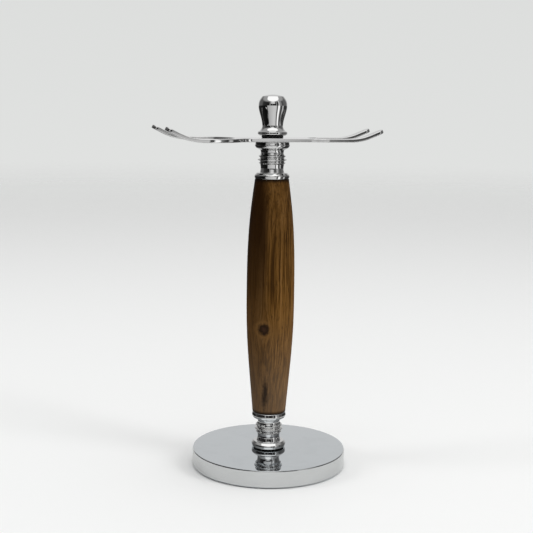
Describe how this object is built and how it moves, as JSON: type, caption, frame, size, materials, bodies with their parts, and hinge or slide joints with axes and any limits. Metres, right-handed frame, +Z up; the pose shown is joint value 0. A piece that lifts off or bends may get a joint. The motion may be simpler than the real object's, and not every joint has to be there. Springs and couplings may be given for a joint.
{
  "type": "razor stand",
  "caption": "Upright shaving stand: weighted round base, turned wooden column with metal ferrules, and a bent fork plate with a wide brush slot and a narrow razor slot under a screwed finial.",
  "frame": {"origin": "on the surface the stand rests on, on the column's axis", "axes": "+Z up the column, -X towards the brush fork, +X towards the razor fork, Y across the forks"},
  "size_m": [0.0926, 0.065, 0.1573],
  "materials": {
    "pad": "matte black foam",
    "base_chrome": "polished chrome plate",
    "fastener_steel": "zinc plated",
    "rod_steel": "bright rolled thread",
    "ferrule_chrome": "polished chrome plate",
    "wood": "oiled and waxed hardwood",
    "plate_steel": "polished stainless sheet",
    "washer_black": "matte black",
    "finial_chrome": "polished chrome plate"
  },
  "bodies": {
    "stand": {"base_pad": "pad", "base_disc": "base_chrome", "base_nut": "fastener_steel", "base_spring_washer": "fastener_steel", "base_flat_washer": "fastener_steel", "base_gasket": "washer_black", "tie_rod": "rod_steel", "lower_ferrule": "ferrule_chrome", "wood_handle": "wood", "upper_ferrule": "ferrule_chrome"},
    "cradle": {"cradle_plate": "plate_steel"},
    "top_washer": {"finial_washer": "washer_black"},
    "finial": {"finial": "finial_chrome"}
  },
  "joints": [
    {"name": "cradle_swivel", "type": "hinge", "parent": "stand", "child": "cradle", "pos_m": [0, 0, 0.1381], "axis": [0, 0, 1], "continuous": true},
    {"name": "finial_turn", "type": "hinge", "parent": "stand", "child": "top_washer", "pos_m": [0, 0, 0.1396], "axis": [0, 0, 1], "range_deg": [0, 3600]},
    {"name": "finial_lift", "type": "slide", "parent": "top_washer", "child": "finial", "axis": [0, 0, 1], "range_m": [0, 0.008]}
  ],
  "couplings": [
    {"joint": "finial_lift", "follows": "finial_turn", "m_per_rad": 0.0001273}
  ]
}
